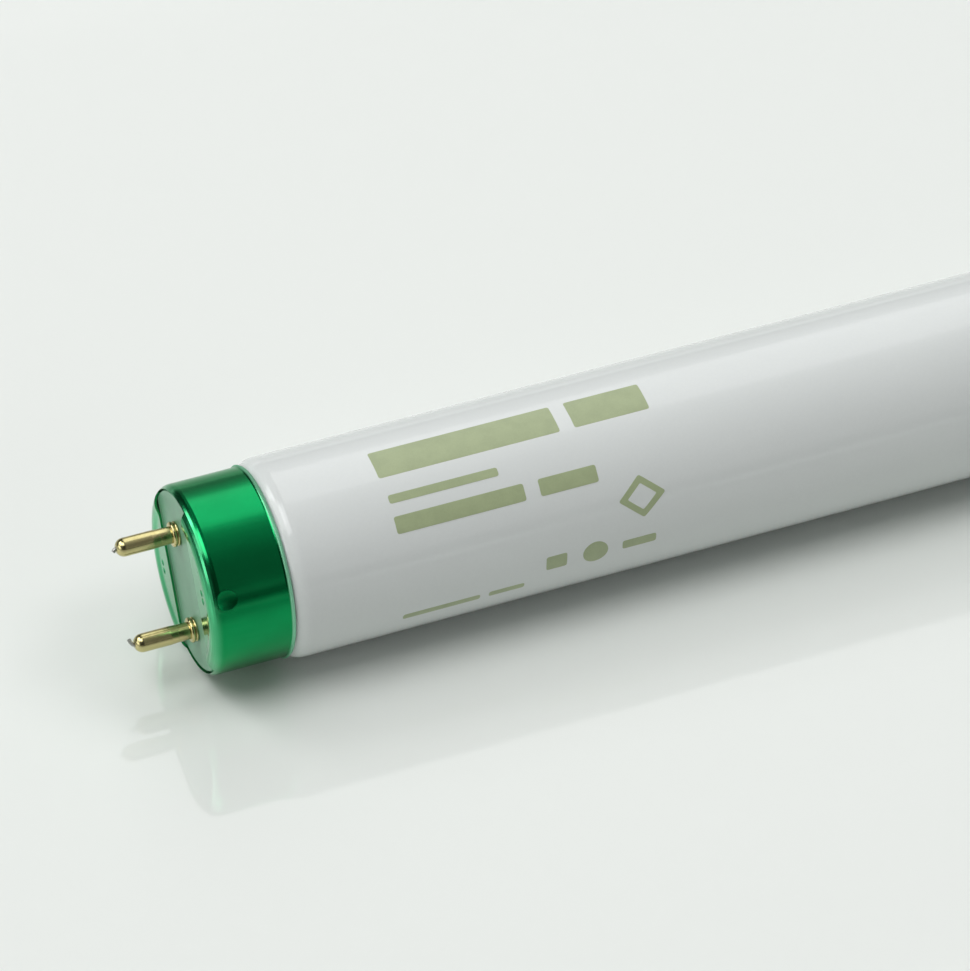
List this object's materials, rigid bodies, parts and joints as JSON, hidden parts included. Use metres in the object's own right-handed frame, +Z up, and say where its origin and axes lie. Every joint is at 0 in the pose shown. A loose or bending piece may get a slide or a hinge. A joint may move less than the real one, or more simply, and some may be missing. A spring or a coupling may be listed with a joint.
{
  "type": "fluorescent tube",
  "caption": "Straight white fluorescent tube with a green anodised metal cap and a pair of brass contact pins at each end.",
  "frame": {"origin": "middle of the tube, on its axis", "axes": "+X along the tube, +Z up as the lamp lies, with the line of the pins leaning 29 degrees from +Z towards +Y"},
  "size_m": [1.5154, 0.026, 0.026],
  "materials": {
    "white_glass": "polished glass, white from the powder inside, opaque",
    "green_anodised": "green anodised, bright, with fine drawn lines along the lamp",
    "grey_plate": "satin moulded insulating plate",
    "pin_brass": "bright drawn brass",
    "lead_wire": "dull nickelled wire",
    "basing_cement": "matt grey cement"
  },
  "bodies": {
    "root": {"glass_tube": "white_glass", "left_cap_shell": "green_anodised", "left_insulator": "grey_plate", "left_upper_pin": "pin_brass", "left_lower_pin": "pin_brass", "left_upper_lead": "lead_wire", "left_lower_lead": "lead_wire", "left_cement": "basing_cement", "right_cap_shell": "green_anodised", "right_insulator": "grey_plate", "right_upper_pin": "pin_brass", "right_lower_pin": "pin_brass", "right_upper_lead": "lead_wire", "right_lower_lead": "lead_wire", "right_cement": "basing_cement"}
  },
  "joints": []
}
